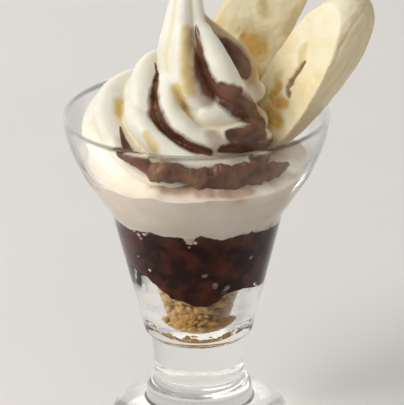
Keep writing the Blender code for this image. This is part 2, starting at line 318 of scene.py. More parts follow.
def innerWall():
    g = glassShape
    outer = outerWall()
    points = []
    for i, (radius, height, wall) in enumerate(outer):
        before, after = outer[max(i - 1, 0)], outer[min(i + 1, len(outer) - 1)]
        along = Vector((after[0] - before[0], after[1] - before[1])).normalized()
        points.append((radius - along.y * wall, height + along.x * wall))
    top = g["height"] - g["rimWall"] / 2
    points = [p for p in points if g["floorCurve"] < p[1] < top - g["lipGap"]]
    slope = (points[1][0] - points[0][0]) / (points[1][1] - points[0][1])
    floorRadius = points[0][0] - slope * (points[0][1] - g["floorCurve"])
    floor = quarterEllipse((0, g["floor"]), (floorRadius, g["floorCurve"]), g["floorSteps"], True)
    return [(0, g["floor"]), *floor, *points, (g["rimRadius"] - g["rimWall"], top)]


def cavityRadius(height, wall=innerWall()):
    for (r0, z0), (r1, z1) in zip(wall, wall[1:]):
        if z0 <= height <= z1:
            return r0 + (r1 - r0) * (height - z0) / (z1 - z0)
    return wall[-1][0]


def glassOutline(_):
    g = glassShape
    ringFoot, ringShoulder, ringTop, stemFoot = g["ring"]
    outline = [(0, 0), *g["foot"]]
    outline += quarterEllipse(g["foot"][-1], g["dome"], g["domeSteps"], False)
    outline += [ringFoot, ringShoulder]
    outline += quarterEllipse(ringShoulder, ringTop, g["ringSteps"], False)
    outline += quarterEllipse(ringTop, stemFoot, g["ringSteps"], True)
    outline += [g["stemTop"], g["shoulder"]]
    outline += quarterEllipse(g["shoulder"], g["coneFoot"], g["shoulderSteps"], True)
    outline += [(r, z) for r, z, _ in outerWall()][1:]
    lip = g["rimWall"] / 2
    for i in range(1, g["lipSteps"]):
        turn = math.pi * i / g["lipSteps"]
        outward, up = 1 - math.cos(turn), 1 - math.sin(turn)
        outline.append((g["rimRadius"] - lip * outward, g["height"] - lip * up))
    outline += innerWall()[::-1]
    return [(r * mm, z * mm) for r, z in outline]


def thinGlass(point):
    # solid-looking in the cone and stem, clearer where the wall is thin
    height, radius = point.z / mm, math.hypot(point.x, point.y) / mm
    lipHeight, lipAlpha = glassShape["clearLip"]
    footTop, footRadius, footWidth, footClear = glassShape["clearFoot"]
    if height > lipHeight:
        return lipAlpha
    if height < footTop and radius > footRadius:
        return 1 - footClear * min(1, (radius - footRadius) / footWidth)
    return 1.0


glass = spinOutline("sundae_glass", glassOutline, glassShape["steps"])
addModifier(glass, "BEVEL", width=glassShape["softEdge"], segments=3, limit_method="ANGLE",
            angle_limit=math.radians(glassShape["softAngle"]))
applyModifiers(glass)
writeAttribute(glass, "clear", [thinGlass(vert.co) for vert in glass.data.vertices])
bowlStart, bowlBlend = glassShape["bowlFade"]
bowlShares = [clamp((vert.co.z / mm - bowlStart) / bowlBlend) for vert in glass.data.vertices]
writeAttribute(glass, "bowl", bowlShares)
smoothAll(glass)
print("glass turned")


swirlShape = {
    # azimuth in degrees, x of the coil's axis, coil's radius, height, rope's half thickness, roll in degrees
    "stations": (
        (40, -4.0, 0.0, 192.0, 0.8, 40),
        (100, -3.4, 0.2, 180.0, 6.0, 40),
        (180, -3.5, 0.4, 169.7, 8.8, 38),
        (255, -1.6, 1.0, 160.0, 14.2, 48),
        (300, 3.0, 3.5, 146.5, 18.8, 60),
        (350, 5.2, 6.5, 135.5, 16.4, 62),
        (400, 1.5, 14.0, 133.5, 14.0, 95),
        (450, 0.0, 14.0, 136.5, 14.5, 142),
        (540, 0.0, 13.0, 138.5, 16.5, 193),
        (600, -1.0, 15.0, 129.0, 16.0, 223),
        (640, -1.0, 15.0, 125.0, 16.0, 243),
        (720, -2.0, 14.5, 129.0, 15.8, 281),
        (810, -3.0, 18.0, 129.0, 16.0, 331),
        (900, -4.8, 21.8, 126.0, 18.6, 391),
        (990, -4.8, 22.0, 118.0, 15.0, 461),
        (1080, -3.5, 22.0, 118.0, 12.4, 531),
        (1170, -2.5, 24.0, 113.5, 10.0, 601),
    ),
    "rings": 420,
    "lobes": 6,
    "pointsPerLobe": 16,
    "groove": 0.42,  # depth as a share of the rope's half thickness
    "grooveShape": 0.8,
    "shallowGroove": (1, 0.2, 0.22, 0.30),  # which, its share of the depth, and where it gets its full depth
    "core": ((26.0, 106.0), (20.0, 122.0), (6.0, 146.0)),  # radii and heights of what fills its middle
    "coreSides": 48,
    "voxel": 0.6 * mm,
    "foot": 107.0 * mm,
    "gap": 0.3 * mm,
    "sauceThickness": 0.35 * mm,
    # runs over the swirl's face: x, y, z and half width in mm
    "sauce": (
        ((0.2, -7, 168.8, 0.4), (0.6, -8.7, 166.5, 1.0), (1.2, -11.9, 162.3, 1.8), (1.5, -14, 157, 2.9),
         (2.6, -15.8, 151, 4.1), (5.6, -17, 147, 4.4), (11, -18.5, 144, 3.8), (16, -18, 141, 3.8),
         (21, -14, 136, 3.8)),
        ((5.0, -2, 169.5, 1.0), (8, -6, 165, 2.5), (11, -6, 160.5, 3.8), (13.5, -6.5, 157, 4.6),
         (16.5, -7.7, 153.8, 4.4), (18.5, -7.8, 150.5, 3.4), (20, -8.5, 147.5, 1.6)),
        ((9.0, -10.6, 161.0, 0.8), (10.4, -11, 158.6, 1.6), (12.4, -11.4, 156, 1.8), (15.3, -12, 152.9, 1.6)),
        ((9.7, -18.5, 148.1, 2.2), (12.9, -18.5, 146.9, 2.6), (15.7, -18, 145.8, 2.2)),
        ((-16.0, -1, 151.5, 0.5), (-14.8, -5, 149, 1.2), (-15.0, -11.4, 146, 2.5), (-14.8, -13, 143, 3.6),
         (-14.8, -16.6, 139.8, 4.2), (-14.0, -20.0, 136.0, 4.7), (-12.4, -22.8, 132.4, 4.6),
         (-9.4, -26, 129.5, 4.3), (-5.5, -29, 127.6, 3.8), (-0.5, -30.3, 126.0, 3.2),
         (4.0, -29.4, 124.6, 2.6)),
        ((-29.6, -20, 132, 0.4), (-29.2, -22.5, 131, 0.8), (-28.3, -25.9, 128.7, 1.1),
         (-26.7, -29.4, 125.8, 2.0)),
        ((11, -18, 142.5, 3.6), (16, -17.5, 139, 4.2), (21, -15, 134, 4.4), (25, -13, 129.5, 4.0)),
        ((13, -25.5, 130, 2.6), (20, -20.5, 128.6, 4.2), (25, -13, 127, 4.0)),
        ((10, -28, 125.5, 2.2), (17, -24, 125, 3.6), (23, -16, 121, 4.0), (28, -8, 119, 4.0)),
        ((22, -22, 120, 3.0), (27, -16, 117, 3.6), (31, -7, 115, 3.4)),
        ((2, 9, 163, 0.8), (3, 15, 154, 2.0), (0, 22, 146, 3.0), (-6, 27, 138, 3.2), (-12, 30, 130, 3.0)),
        ((14, 12, 146, 1.6), (20, 17, 138, 2.6), (21, 24, 128, 3.0), (16, 30, 120, 3.0)),
    ),
    "stain": (
        ((5.5, 0, 169, 2.6), (9, -3, 167, 3.6), (17, -4, 157, 5.2), (22, -4, 150, 4.6)),
        ((-0.6, -8, 167, 1.8), (-1.4, -11, 163, 3.0), (-0.8, -16, 153, 3.8), (1.0, -19, 146, 3.6),
         (4, -18, 142, 3.4)),
        ((16, -18, 144, 3.0), (23, -13, 139, 4.0), (26, -9, 132, 4.0)),
        ((20, -8, 149, 3.0), (25, -7, 143, 4.2), (28, -6, 137, 3.6)),
        ((-30, -24, 128, 2.2), (-26, -31, 124, 3.2), (-20, -34, 121, 3.4)),
        ((6.0, -27.5, 131.5, 3.2), (8.4, -29, 128.6, 4.0), (10, -28.5, 126, 4.2), (16, -25, 122, 4.5)),
    ),
    # painted shade: runs of a yellowish tint in the hollows between the folds
    "hollowShade": (
        ((-7.4, -17.4, 147, 2.4), (-6.8, -18, 143, 3.2), (-5.0, -17.5, 138.5, 2.4), (-3, -21, 135, 1.2)),
        ((-19.7, -28.9, 132.5, 1.4), (-18.2, -30.7, 130.3, 2.0), (-16.3, -32.2, 127.6, 2.2)),
        ((-30, -7, 137.5, 2.6), (-30, -12, 135, 3.0)),
        ((-3.5, -9, 168, 2.0), (-3.5, -15, 158, 3.0), (-3, -20, 147, 3.0)),
        ((6, 0, 169, 2.2), (12, -2, 164, 3.0), (20, -5, 154, 3.4), (23, -6, 147, 3.0)),
    ),
}


def ropePath():
    rings = swirlShape["rings"]
    path = []
    for i in range(rings):
        share = i / (rings - 1)
        azimuth, axisX, radius, height, half, roll = smoothBetween(swirlShape["stations"], share)
        turn = math.radians(azimuth)
        centre = Vector((axisX + radius * math.cos(turn), radius * math.sin(turn), height)) * mm
        path.append((share, centre, half * mm, math.radians(roll)))
    return path


def grooveDepth(groove, share):
    which, least, start, end = swirlShape["shallowGroove"]
    full = clamp((share - start) / (end - start)) if groove == which else 1
    return swirlShape["groove"] * (least + (1 - least) * full)


def ropeRings():
    path = ropePath()
    perLobe = swirlShape["pointsPerLobe"]
    around = swirlShape["lobes"] * perLobe
    across, rings = Vector((1, 0, 0)), []
    for i, (share, centre, half, roll) in enumerate(path):
        before, after = path[max(i - 1, 0)][1], path[min(i + 1, len(path) - 1)][1]
        along = (after - before).normalized()
        across = (across - along * across.dot(along)).normalized()
        side = along.cross(across)
        ring = []
        for k in range(around):
            turn = math.tau * k / around
            lobe = abs(math.cos(swirlShape["lobes"] * turn / 2)) ** swirlShape["grooveShape"]
            reach = half * (1 - grooveDepth(k // perLobe, share) * (1 - lobe))
            ring.append(centre + reach * (across * math.cos(turn + roll) + side * math.sin(turn + roll)))
        rings.append(ring)
    return rings


def wrapRope(name, rings):
    deselectAll()
    around = len(rings[0])
    bpy.ops.mesh.primitive_grid_add(x_subdivisions=len(rings) - 1, y_subdivisions=around, size=1)
    rope = takeNew(name)

    def placeOf(vert):
        ring, step = (vert.co.x + 0.5) * (len(rings) - 1), (vert.co.y + 0.5) * around
        return rings[round(ring)][round(step) % around]

    moveVerts(rope, placeOf)
    tidyMesh(rope, 0.0001 * mm)
    fillEnds(rope)
    return rope


def buildSwirl(cutters):
    rings = ropeRings()
    parts = [wrapRope("rope", rings)]
    for (lowRadius, low), (highRadius, high) in zip(swirlShape["core"], swirlShape["core"][1:]):
        deselectAll()
        bpy.ops.mesh.primitive_cone_add(vertices=swirlShape["coreSides"], radius1=lowRadius * mm,
                                        radius2=highRadius * mm, depth=(high - low) * mm,
                                        location=(0, 0, (low + high) / 2 * mm))
        parts.append(takeNew("core"))
    piece = joinAll(parts, "soft_serve_swirl")
    fixPlace(piece)
    addModifier(piece, "REMESH", mode="VOXEL", voxel_size=swirlShape["voxel"], use_smooth_shade=True)
    addModifier(piece, "SMOOTH", factor=0.5, iterations=4)
    for cutter in cutters:
        addModifier(piece, "BOOLEAN", object=cutter, operation="DIFFERENCE", solver="MANIFOLD")
    applyModifiers(piece)
    editAll(piece)
    bpy.ops.mesh.bisect(plane_co=(0, 0, swirlShape["foot"]), plane_no=(0, 0, -1), use_fill=True,
                        clear_outer=True)
    bpy.ops.object.mode_set(mode="OBJECT")
    around = len(rings[0])
    tree = KDTree(len(rings) * around)
    for i, ring in enumerate(rings):
        for k, point in enumerate(ring):
            tree.insert(point, i * around + k)
    tree.balance()
    nearest = [divmod(tree.find(vert.co)[1], around) for vert in piece.data.vertices]
    lobes = [k / swirlShape["pointsPerLobe"] for _, k in nearest]
    # how deep in a groove each point lies, for the painted shade in the grooves
    writeAttribute(piece, "grooveShade", [1 - abs(math.cos(math.pi * lobe)) for lobe in lobes])
    for name in ("sauce", "stain", "hollowShade"):
        measureAttribute(piece, name, lambda point: nearRun(point, swirlShape[name]))
    coat = [item.value for item in piece.data.attributes["sauce"].data]
    normals = [vert.normal.copy() for vert in piece.data.vertices]
    for vert, normal, much in zip(piece.data.vertices, normals, coat):
        vert.co += normal * swirlShape["sauceThickness"] * min(1, 2 * much)
    smoothAll(piece)
    return piece


# 1 along the middle of a run, 0 from one and a half of its half widths away
def nearRun(point, runs):
    reach, most = 1.5, 0
    for run in runs:
        for start, end in zip(run, run[1:]):
            a, b = Vector(start[:3]), Vector(end[:3])
            share = clamp((point - a).dot(b - a) / (b - a).length_squared)
            half = start[3] + (end[3] - start[3]) * share
            away = (point - a.lerp(b, share)).length
            most = max(most, min(1, reach - away / half))
    return max(most, 0)


bananaShape = {
    "radius": 14.8,
    "cut": 3.5,  # from the body's axis to the cut, at cutHeight
    "cutHeight": 36.0,
    "taper": 2.6,
    "voxel": 0.55 * mm,
    # length, slope of its cut, bow, foot, degrees leaned, azimuth leaned to, and the azimuth that its cut
    # faced before it leaned
    "places": {
        "banana_front": (80.0, 0.2, 0.0, (17.3, 0.2, 114.2), 37.8, 0.0, 217.6),
        "banana_back": (92.0, 0.0, 3.0, (-4.0, 27.0, 112.5), 32.0, 8.0, 270.0),
    },
    # runs over the cut face: across, along and half width in mm
    "marks": {
        "banana_front": {
            "seeds": (((0.9, 45.5, 0.6), (0.5, 41.8, 1.2), (0.2, 39.7, 1.2), (0.2, 37.3, 0.9),
                       (0.2, 34.9, 1.6), (0.0, 32.7, 1.2)),
                      ((0.6, 31.8, 0.9), (2.2, 31.2, 1.3), (3.1, 30.6, 0.9))),
            "green": (((-3.1, 50.8, 1.2), (-2.4, 47.9, 2.2), (-1.1, 45.0, 1.9), (0.5, 43.0, 1.0)),
                      ((-6.6, 33.6, 1.6), (-6.2, 31.3, 2.2), (-4.8, 30.0, 1.6))),
            "amber": (((-3.6, 30.0, 1.8), (-4.0, 27.2, 2.2), (-4.5, 24.4, 1.8)),
                      ((-1.0, 24.1, 2.6), (1.5, 25.6, 2.4), (3.7, 27.3, 2.0)),
                      ((-1.7, 19.2, 3.2), (1.7, 18.9, 3.8), (5.1, 19.5, 3.0))),
        },
        "banana_back": {
            "seeds": (),
            "green": (((-3.4, 63.0, 2.2), (-1.4, 60.2, 2.4), (1.0, 57.8, 1.8)),
                      ((10.7, 70.0, 2.0), (12.0, 63.0, 2.6), (12.6, 56.0, 2.0)),
                      ((-2.3, 46.5, 2.4), (0.4, 48.0, 4.2), (5.0, 49.0, 4.0))),
            "amber": (((-0.6, 45.5, 1.4), (2.4, 44.8, 3.2), (6.0, 43.7, 4.4), (7.4, 45.0, 3.2)),
                      ((9.5, 32.5, 4.6), (13.0, 33.0, 4.4))),
        },
    },
    "faceStart": 0.56,  # of a normal that looks straight out of the cut, and where the cut face is whole
    "faceWhole": 0.96,
    "seedDent": 0.9,
    "amberDent": 0.5,
    "amberSize": 2.2,
    "waves": (0.5, 6.0),  # height and size
    "fibres": 11,
    "fibreDent": 0.3,
    "fibreWidth": 0.2,
    "fibreWander": (0.25, 16.0),
    "sides": 80,
}


def bananaBody(name, length, slope, bow, grow):
    radius = bananaShape["radius"] + grow
    deselectAll()
    sides = bananaShape["sides"]
    bpy.ops.mesh.primitive_uv_sphere_add(segments=sides, ring_count=sides, radius=1)
    body = takeNew(name)

    def placeOf(vert):
        t = 0.5 + vert.co.z / 2
        wide = math.hypot(vert.co.x, vert.co.y)
        scale = radius * (1 - abs(2 * t - 1) ** bananaShape["taper"]) ** 0.5 / max(wide, 1e-9)
        return Vector((vert.co.x * scale, vert.co.y * scale, (length + 2 * grow) * t - grow)) * mm

    moveVerts(body, placeOf)
    editAll(body)
    bpy.ops.mesh.bisect(plane_co=(0, -(bananaShape["cut"] + grow) * mm, bananaShape["cutHeight"] * mm),
                        plane_no=(0, -1, -slope), use_fill=True, clear_outer=True)
    bpy.ops.object.mode_set(mode="OBJECT")
    return body, lambda point: bow * mm * (1 - (2 * point.z / mm / length - 1) ** 2)


def placeBanana(obj, foot, lean, leanedTo, faceTo):
    leanAxis = Vector((-math.sin(math.radians(leanedTo)), math.cos(math.radians(leanedTo)), 0))
    leaned = Matrix.Rotation(math.radians(lean), 4, leanAxis)
    turned = Matrix.Rotation(math.radians(faceTo + 90), 4, "Z")
    obj.matrix_world = Matrix.Translation(Vector(foot) * mm) @ leaned @ turned
    fixPlace(obj)


def buildPocket(name):
    length, slope, bow, *place = bananaShape["places"][name]
    pocket, bowAt = bananaBody(name + "_pocket", length, slope, bow, swirlShape["gap"] / mm)
    moveVerts(pocket, lambda v: v.co + Vector((0, bowAt(v.co), 0)))
    placeBanana(pocket, *place)
    tidyMesh(pocket)
    pocket.hide_render = True
    return pocket


def buildBanana(name):
    length, slope, bow, *place = bananaShape["places"][name]
    banana, bowAt = bananaBody(name + "_piece", length, slope, bow, 0)
    addModifier(banana, "REMESH", mode="VOXEL", voxel_size=bananaShape["voxel"], use_smooth_shade=True)
    addModifier(banana, "SMOOTH", factor=0.5, iterations=6)
    applyModifiers(banana)
    writeAttribute(banana, "grain", [v.co.copy() for v in banana.data.vertices], "FLOAT_VECTOR")
    start, whole = bananaShape["faceStart"], bananaShape["faceWhole"]
    cutFace = [clamp((-v.normal.y - start) / (whole - start)) for v in banana.data.vertices]
    writeAttribute(banana, "cutFace", cutFace)
    marks = {}
    for title, runs in bananaShape["marks"][name].items():
        flat = [[(across, 0, along, half) for across, along, half in run] for run in runs]
        marks[title] = [share * nearRun(Vector((v.co.x / mm, 0, v.co.z / mm)), flat)
                        for v, share in zip(banana.data.vertices, cutFace)]
        writeAttribute(banana, title, marks[title])
    waveHeight, waveSize = bananaShape["waves"]
    wander, wanderSize = bananaShape["fibreWander"]

    def sculpt(vert):
        i, point = vert.index, vert.co.copy()
        amber, width = marks["amber"][i], bananaShape["fibreWidth"]
        dent = bananaShape["seedDent"] * marks["seeds"][i] + bananaShape["amberDent"] * amber
        wave = waveHeight * lump(point / mm, waveSize, 3)
        wave += 0.5 * waveHeight * amber * lump(point / mm, bananaShape["amberSize"], 9)
        inward = Vector((-point.x, -point.y, 0)).normalized()
        turn = math.atan2(point.y, point.x) + wander * lump(point / mm, wanderSize, 5)
        fibre = max(0, math.cos(bananaShape["fibres"] * turn) - 1 + width) / width * bananaShape["fibreDent"]
        point.y += cutFace[i] * (dent + wave) * mm
        point += inward * (1 - cutFace[i]) * (fibre + 0.5 * wave) * mm
        return point + Vector((0, bowAt(point), 0))

    moveVerts(banana, sculpt)
    placeBanana(banana, *place)
    smoothAll(banana)
    return banana


pockets = [buildPocket(name) for name in bananaShape["places"]]
bananas = {name: buildBanana(name) for name in bananaShape["places"]}
print("bananas cut")
swirl = buildSwirl(pockets)
for pocket in pockets:
    bpy.data.objects.remove(pocket)
print("swirl piped")


chocolateShape = {
    "steps": 256,
    "intoWall": 0.20,
    # azimuth in degrees and height of its lower edge at the wall
    "levels": (
        (10, 60.5), (60, 62.5), (95, 68.0), (125, 73.0), (150, 73.5), (182, 72.0), (194, 71.2), (205, 70.4),
        (215, 68.2), (224, 66.0), (231, 63.8), (236, 63.2), (241, 60.9), (249, 59.8), (270, 58.0),
        (281, 57.2), (288, 59.0), (298, 62.5), (320, 63.0), (342, 61.7),
    ),
    # azimuth in degrees and height of the cream's lower edge at the wall
    "edge": (
        (20, 88.6), (70, 89.6), (120, 88.8), (165, 89.4), (200, 90.2), (215, 89.4), (226, 90.5), (235, 91.5),
        (240, 91.1), (245, 90.2), (251, 90.6), (258, 90.7), (261, 89.6), (263, 87.0), (267, 88.4),
        (269, 91.0), (273, 92.2), (276, 90.9), (282, 89.3), (287, 88.6), (293, 89.0), (301, 89.6),
        (309, 89.3), (311.5, 90.9), (314, 89.0), (331, 88.0), (348, 87.1),
    ),
    "edgeRagged": (0.35, 1.6),  # height and size
    "underside": 61.5,
    "underShare": 0.985,  # of the wall's radius, where the underside starts to turn up
    "underSteps": 12,
    "turnUp": 1.2,  # from the underside's edge to the wall
    "wallSteps": 44,
    "crown": 0.8,  # its middle stands over its edge
    "crownSteps": 8,
    "overlap": 1.2,  # of the cream over it
    "ragged": (0.9, 4.5),  # height and size
    "dull": (58, 88, 5.0, 3, 0.6),  # from and to which height, size, seed and depth
    "dents": 14,
    "dentHeights": (60, 88),
    "dentSize": (0.5, 1.3),
    "dentDepth": 0.35,
    "seed": 11,
}


def creamLow(azimuth):
    c = chocolateShape
    ragged, size = c["edgeRagged"]
    return roundHeight(c["edge"], azimuth) + ragged * lump(roundPoint(30, azimuth, 0), size, c["seed"] + 8)


def chocolateOutline(azimuth):
    c = chocolateShape
    ragged, size = c["ragged"]
    low = roundHeight(c["levels"], azimuth) + ragged * lump(roundPoint(20, azimuth, 0), size, c["seed"])
    wallLow, top = low + c["turnUp"], creamLow(azimuth) + c["overlap"]
    rows = [(0, c["underside"])]
    for i in range(1, c["underSteps"] + 1):
        share = i / c["underSteps"]
        rows.append((cavityRadius(wallLow) * c["underShare"] * share,
                     c["underside"] + (low - c["underside"]) * share * share))
    for i in range(c["wallSteps"] + 1):
        height = wallLow + (top - wallLow) * i / c["wallSteps"]
        rows.append((cavityRadius(height) + c["intoWall"], height))
    for i in range(1, c["crownSteps"] + 1):
        share = i / c["crownSteps"]
        rows.append((cavityRadius(top) * (1 - share), top + c["crown"] * share))
    return [(r * mm, z * mm) for r, z in rows]


def dentWall(obj, shape):
    pull = random.Random(shape["seed"])
    tree = KDTree(len(obj.data.vertices))
    for i, vert in enumerate(obj.data.vertices):
        tree.insert(vert.co, i)
    tree.balance()
    for _ in range(shape["dents"]):
        azimuth, height = pull.uniform(0, math.tau), pull.uniform(*shape["dentHeights"])
        size = pull.uniform(*shape["dentSize"])
        hollow = roundPoint(cavityRadius(height), azimuth, height) * mm
        for _, i, distance in tree.find_range(hollow, size * mm):
            vert = obj.data.vertices[i]
            away = 1 - (distance / (size * mm)) ** 2
            inward = Vector((-vert.co.x, -vert.co.y, 0)).normalized()
            vert.co += inward * shape["dentDepth"] * size * away * mm


# the surface leaves the glass a little here and there, as thick stuff does
def dullWall(obj, shape):
    low, high, size, seed, reach = shape["dull"]
    atWall, start = 0.99, 0.35
    for vert in obj.data.vertices:
        height = vert.co.z / mm
        radius = math.hypot(vert.co.x, vert.co.y)
        if low < height < high and radius > cavityRadius(height) * mm * atWall:
            away = max(0, lump(vert.co / mm, size, seed) - start) * reach
            vert.co.x *= 1 - away * mm / radius
            vert.co.y *= 1 - away * mm / radius


chocolate = spinOutline("chocolate_layer", chocolateOutline, chocolateShape["steps"])
dullWall(chocolate, chocolateShape)
dentWall(chocolate, chocolateShape)
smoothAll(chocolate)
print("chocolate poured")


creamShape = {
    "steps": 256,
    "intoWall": 0.30,
    "underside": 90.1,
    "undersideSteps": 8,
    "edge": 111.0,
    "edgeWave": (1.1, 9.0),  # height and size
    "wallSteps": 34,
    "wallStart": 0.25,  # the share of intoWall it has at its lower edge
    # distance in from the wall, and rise over the edge
    "rise": ((0.5, 0.1), (1.0, 0.2), (2.0, 0.4), (3.5, 0.8), (5.5, 1.6), (8.0, 2.4), (11.0, 3.0),
             (16.0, 2.6)),
    "riseWave": (0.7, 7.0, 3.0),  # height, size, and how far in it is whole
    "middle": (24, 12, 0),  # radii of the flat part under the swirl
    # runs of stain on its top: x, y, z and half width in mm
    "stain": (
        ((-18, -33, 114, 2.0), (-12, -35.5, 113, 3.2), (-6, -37, 113, 3.4), (-1, -37, 113, 2.6)),
        ((1, -39.5, 111.8, 2.6), (4, -40, 111.6, 3.2)),
        ((10, -39, 111.6, 2.8), (15, -38, 111.6, 3.4), (19, -36, 111.6, 2.6)),
    ),
    "smear": (89.5, 4.5, 3.5),  # height, how far it reaches up and down, and the size of its patches
    "dents": 34,
    "dentHeights": (92, 106),
    "dentSize": (0.4, 1.3),
    "dentDepth": 0.35,
    "seed": 23,
}


def creamOutline(azimuth):
    c = creamShape
    low = creamLow(azimuth)
    wave, size = c["edgeWave"]
    edge = c["edge"] + wave * lump(roundPoint(30, azimuth, 9), size, c["seed"])
    rows = []
    for i in range(c["undersideSteps"]):
        share = i / c["undersideSteps"]
        rows.append((cavityRadius(low) * share, c["underside"] + (low - c["underside"]) * share**2))
    for i in range(c["wallSteps"] + 1):
        height = low + (edge - low) * i / c["wallSteps"]
        rows.append((cavityRadius(height) + c["intoWall"] * min(1, c["wallStart"] + i / 2), height))
    wave, size, whole = c["riseWave"]
    for away, rise in c["rise"]:
        ripple = wave * lump(roundPoint(40 - away, azimuth, 3), size, c["seed"]) * min(1, away / whole)
        rows.append((cavityRadius(edge) - away, edge + rise + ripple))
    rows += [(radius, edge) for radius in c["middle"]]
    return [(r * mm, z * mm) for r, z in rows]


def smearAt(point):
    height, reach, size = creamShape["smear"]
    return max(0, 1 - abs(point.z - height) / reach) * (0.5 + lump(point, size, 8))


cream = spinOutline("cream_layer", creamOutline, creamShape["steps"])
dentWall(cream, creamShape)
measureAttribute(cream, "stain", lambda point: nearRun(point, creamShape["stain"]))
measureAttribute(cream, "smear", smearAt)
smoothAll(cream)
print("cream poured")


crumbShape = {
    "coreShare": 0.74,  # of the cavity's radius
    "coreFloor": 39.0,
    "coreSteps": (24, 96),  # up and round
    "coreLumps": (0.08, 4.0),  # share of the radius and size
    "coreTone": 0.1,
    "outerShare": 0.99,  # above the rounded floor, where they lie on the glass
    "touchBelow": (43.0, 4.0, 5.0),  # least height, how much it rises and falls, and the size of that
    "intoWall": 0.2,
    "floor": 37.8,
    "top": 64.0,
    "rowStep": 2.1,
    "aroundStep": 2.7,
    "kinds": 4,
    "large": (2.2, 3.7),
    "small": (0.9, 1.7),
    "shift": (1.0, 0.35),  # up or down, and round as a share of a step
    "sunk": (0.75, 1.1),  # in from the wall as a share of the size, and the same for those that touch it
    "sunkTouching": (0.5, 0.9),
    "brownerFrom": (5.5, 40),  # x and height from which they are browner, and their share of the tone
    "brownerTone": 0.2,
    "seed": 5,
}


def crumbCoreOutline(azimuth):
    c = crumbShape
    heightSteps, lumps, size = c["coreSteps"][0], *c["coreLumps"]
    rows = [(0, c["coreFloor"])]
    for i in range(heightSteps + 1):
        height = c["coreFloor"] + (c["top"] - c["coreFloor"]) * i / heightSteps
        radius = cavityRadius(height) * c["coreShare"]
        radius *= 1 + lumps * lump(roundPoint(radius, azimuth, height), size, c["seed"])
        rows.append((radius, height))
    rows.append((0, c["top"]))
    return [(r * mm, z * mm) for r, z in rows]


def crumbsTouch(point):
    least, rise, size = crumbShape["touchBelow"]
    return point.z < least + rise * max(0, lump(Vector((point.x, point.y, 0)).normalized() * 10, size, 13))


def crumbLump(name, detail, seed):
    deselectAll()
    bpy.ops.mesh.primitive_ico_sphere_add(subdivisions=detail, radius=1)
    bit = takeNew(name)
    pull = random.Random(seed)
    squash = Vector((pull.uniform(0.85, 1.2), pull.uniform(0.75, 1.0), pull.uniform(0.6, 0.85)))

    def placeOf(vert):
        way = vert.co.normalized()
        reach = 1 + 0.30 * lump(way, 0.9, seed) + 0.16 * lump(way, 0.35, seed + 3)
        return way * squash * reach

    moveVerts(bit, placeOf)
    smoothAll(bit)
    return bit


def setTone(obj, tone):
    writeAttribute(obj, "tone", [tone] * len(obj.data.vertices))


def setLump(bit, place, size, pull):
    bit.matrix_world = Matrix.LocRotScale(place * mm, randomTurn(pull), Vector((size, size, size)) * mm)


def scatterCrumbs():
    c = crumbShape
    pull = random.Random(c["seed"])
    large = [crumbLump("largeCrumb", 3, 40 + i) for i in range(c["kinds"])]
    small = [crumbLump("smallCrumb", 2, 60 + i) for i in range(c["kinds"])]
    up, along = c["shift"]
    placed, pieces = [], []
    height = c["floor"]
    while height < c["top"]:
        around = max(5, round(math.tau * cavityRadius(height) * c["outerShare"] / c["aroundStep"]))
        for i in range(around):
            isLarge = pull.random() < 0.5
            size = pull.uniform(*(c["large"] if isLarge else c["small"]))
            z = height + pull.uniform(-up, up)
            azimuth = math.tau * (i + pull.uniform(-along, along)) / around
            touches = crumbsTouch(roundPoint(10, azimuth, z))
            sunk = size * pull.uniform(*(c["sunkTouching"] if touches else c["sunk"]))
            radius = max(cavityRadius(z) * (1 if touches else c["outerShare"]) - sunk, 0)
            placed.append((pull.choice(large if isLarge else small), size, roundPoint(radius, azimuth, z)))
        height += c["rowStep"]
    brownerX, brownerZ = c["brownerFrom"]
    for source, size, place in placed:
        bit = source.copy()
        bit.data = source.data.copy()
        bpy.context.scene.collection.objects.link(bit)
        setLump(bit, place, size, pull)
        # the crumbs on the right, above that height, get a lower and browner tone
        browner = place.x > brownerX and place.z > brownerZ
        setTone(bit, pull.random() * (c["brownerTone"] if browner else 1))
        pieces.append(bit)
    core = spinOutline("crumb_core", crumbCoreOutline, c["coreSteps"][1])
    setTone(core, c["coreTone"])
    heap = joinAll([core, *pieces], "biscuit_crumbs")
    fixPlace(heap)
    for vert in heap.data.vertices:
        height = max(vert.co.z / mm, glassShape["floor"] - c["intoWall"])
        radius = math.hypot(vert.co.x, vert.co.y) / mm
        touches = crumbsTouch(Vector((vert.co.x / mm, vert.co.y / mm, height)))
        wall = cavityRadius(max(height, glassShape["floor"])) + (c["intoWall"] if touches else -c["intoWall"])
        share = min(1, wall / max(radius, 0.01))
        vert.co = (vert.co.x * share, vert.co.y * share, height * mm)
    for source in large + small:
        bpy.data.objects.remove(source)
    return heap


crumbs = scatterCrumbs()
print("crumbs scattered:", len(crumbs.data.polygons))


bitShape = {
    # azimuth in degrees, height, size and tone of each, from brown to pale
    "places": (
        (219, 90.2, 1.0, 0.9), (222.5, 88.6, 1.1, 1.0), (224, 87.0, 0.9, 0.8), (228.5, 89.6, 1.2, 1.0),
        (231.5, 90.6, 0.8, 0.9), (226, 91.2, 0.8, 0.7), (262.5, 88.4, 1.0, 0.8), (261, 90.0, 0.9, 0.9),
        (265, 88.0, 0.9, 1.0), (268, 88.6, 1.1, 0.9), (263.5, 86.2, 0.8, 0.7), (276, 72.6, 1.5, 0.25),
        (286, 67.4, 1.6, 0.25), (299, 65.6, 1.4, 0.3), (214, 77.5, 0.9, 0.3), (318, 77.5, 1.0, 0.5),
    ),
    "sunk": 0.3,  # in from the wall as a share of the size
    "flat": 0.35,  # how far they reach into the wall
    "seed": 77,
}


